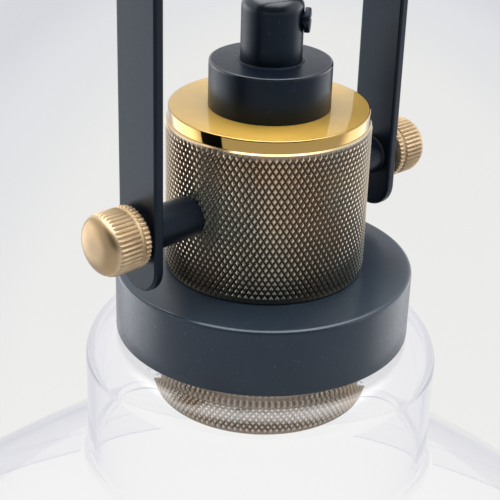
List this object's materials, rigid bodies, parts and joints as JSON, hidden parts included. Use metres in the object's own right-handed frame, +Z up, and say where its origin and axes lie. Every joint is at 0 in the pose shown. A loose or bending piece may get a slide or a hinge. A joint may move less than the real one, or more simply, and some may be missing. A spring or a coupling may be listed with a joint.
{
  "type": "pendant light",
  "caption": "Pendant light with a flat-bar yoke, a tilting knurled brass head, a black gallery disc and a clear flared glass shade.",
  "frame": {"origin": "on the hanging thread's axis, level with the top face of the upper hanging nut", "axes": "+Z up along the hanging thread; +X along the tilt axis, from the left thumbscrew to the right one"},
  "size_m": [0.3, 0.3, 0.3382],
  "materials": {
    "black_coat": "satin powder coat",
    "black_fastener": "satin black",
    "cap_brass": "turned and polished",
    "knurled_brass": "antique, diamond knurled",
    "thumbscrew_brass": "pale, straight knurled",
    "contact_brass": "plain",
    "steel": "zinc plated",
    "rubber": "matt",
    "phenolic": "moulded phenolic",
    "ceramic": "unglazed steatite",
    "nylon": "natural nylon",
    "clear_glass": "clear blown glass"
  },
  "bodies": {
    "yoke": {"yoke": "black_coat", "hang_nipple": "steel", "hang_nut_upper": "black_fastener", "hang_nut_lower": "black_fastener", "hang_washers": "black_fastener"},
    "head": {"cord_grip": "black_coat", "collar": "black_coat", "cap_plate": "cap_brass", "knurled_sleeve": "knurled_brass", "head_nipple": "steel", "head_locknut": "steel", "earth_tag": "contact_brass", "earth_screw": "steel", "pivot_nuts": "steel", "left_spacer": "black_coat", "right_spacer": "black_coat", "left_friction_washer": "rubber", "right_friction_washer": "rubber", "holder_cap": "steel", "holder_core": "ceramic", "terminal_blocks": "contact_brass", "terminal_screws": "steel", "contact_leads": "contact_brass", "contact_spring": "steel", "screw_shell": "contact_brass", "holder_skirt": "phenolic", "gallery_disc": "black_coat", "distance_tube": "steel", "gallery_plate": "black_coat", "gallery_gasket": "rubber"},
    "left_clamp_washer": {"left_washer": "black_fastener"},
    "left_clamp_screw": {"left_thumbscrew": "thumbscrew_brass"},
    "right_clamp_washer": {"right_washer": "black_fastener"},
    "right_clamp_screw": {"right_thumbscrew": "thumbscrew_brass"},
    "shade": {"glass_shade": "clear_glass", "shade_gasket": "rubber"},
    "shade_ring": {"shade_ring": "knurled_brass"},
    "grip_pad": {"grip_pad": "nylon"},
    "grip_screw": {"grip_screw": "black_fastener"},
    "centre_contact": {"centre_contact": "contact_brass"}
  },
  "joints": [
    {"name": "head_tilt", "type": "hinge", "parent": "yoke", "child": "head", "pos_m": [0, 0, -0.1555], "axis": [1, 0, 0], "range_deg": [-60, 60]},
    {"name": "left_screw_travel", "type": "slide", "parent": "head", "child": "left_clamp_washer", "axis": [-1, 0, 0], "range_m": [0, 0.0016]},
    {"name": "left_screw_turn", "type": "hinge", "parent": "left_clamp_washer", "child": "left_clamp_screw", "pos_m": [-0.045, 0, -0.1555], "axis": [-1, 0, 0], "range_deg": [0, 720]},
    {"name": "right_screw_travel", "type": "slide", "parent": "head", "child": "right_clamp_washer", "axis": [1, 0, 0], "range_m": [0, 0.0016]},
    {"name": "right_screw_turn", "type": "hinge", "parent": "right_clamp_washer", "child": "right_clamp_screw", "pos_m": [0.045, 0, -0.1555], "axis": [1, 0, 0], "range_deg": [0, 720]},
    {"name": "shade_travel", "type": "slide", "parent": "head", "child": "shade", "axis": [0, 0, -1], "range_m": [0, 0.0075]},
    {"name": "shade_ring_turn", "type": "hinge", "parent": "shade", "child": "shade_ring", "pos_m": [0, 0, -0.2055], "axis": [0, 0, -1], "range_deg": [0, 1080]},
    {"name": "grip_pad_travel", "type": "slide", "parent": "head", "child": "grip_pad", "axis": [0.6428, -0.766, 0], "range_m": [0, 0.0014]},
    {"name": "grip_screw_turn", "type": "hinge", "parent": "grip_pad", "child": "grip_screw", "pos_m": [0, 0, -0.1101], "axis": [0.6428, -0.766, 0], "range_deg": [0, 720]},
    {"name": "contact_press", "type": "slide", "parent": "head", "child": "centre_contact", "axis": [0, 0, 1], "range_m": [0, 0.0015], "stiffness_N_per_m": 1500, "springref_m": -0.001, "deforming": ["contact_spring"]}
  ],
  "couplings": [
    {"joint": "left_screw_turn", "follows": "left_screw_travel", "rad_per_m": 7854},
    {"joint": "right_screw_turn", "follows": "right_screw_travel", "rad_per_m": 7854},
    {"joint": "shade_ring_turn", "follows": "shade_travel", "rad_per_m": 2513.3},
    {"joint": "grip_screw_turn", "follows": "grip_pad_travel", "rad_per_m": 8976}
  ]
}
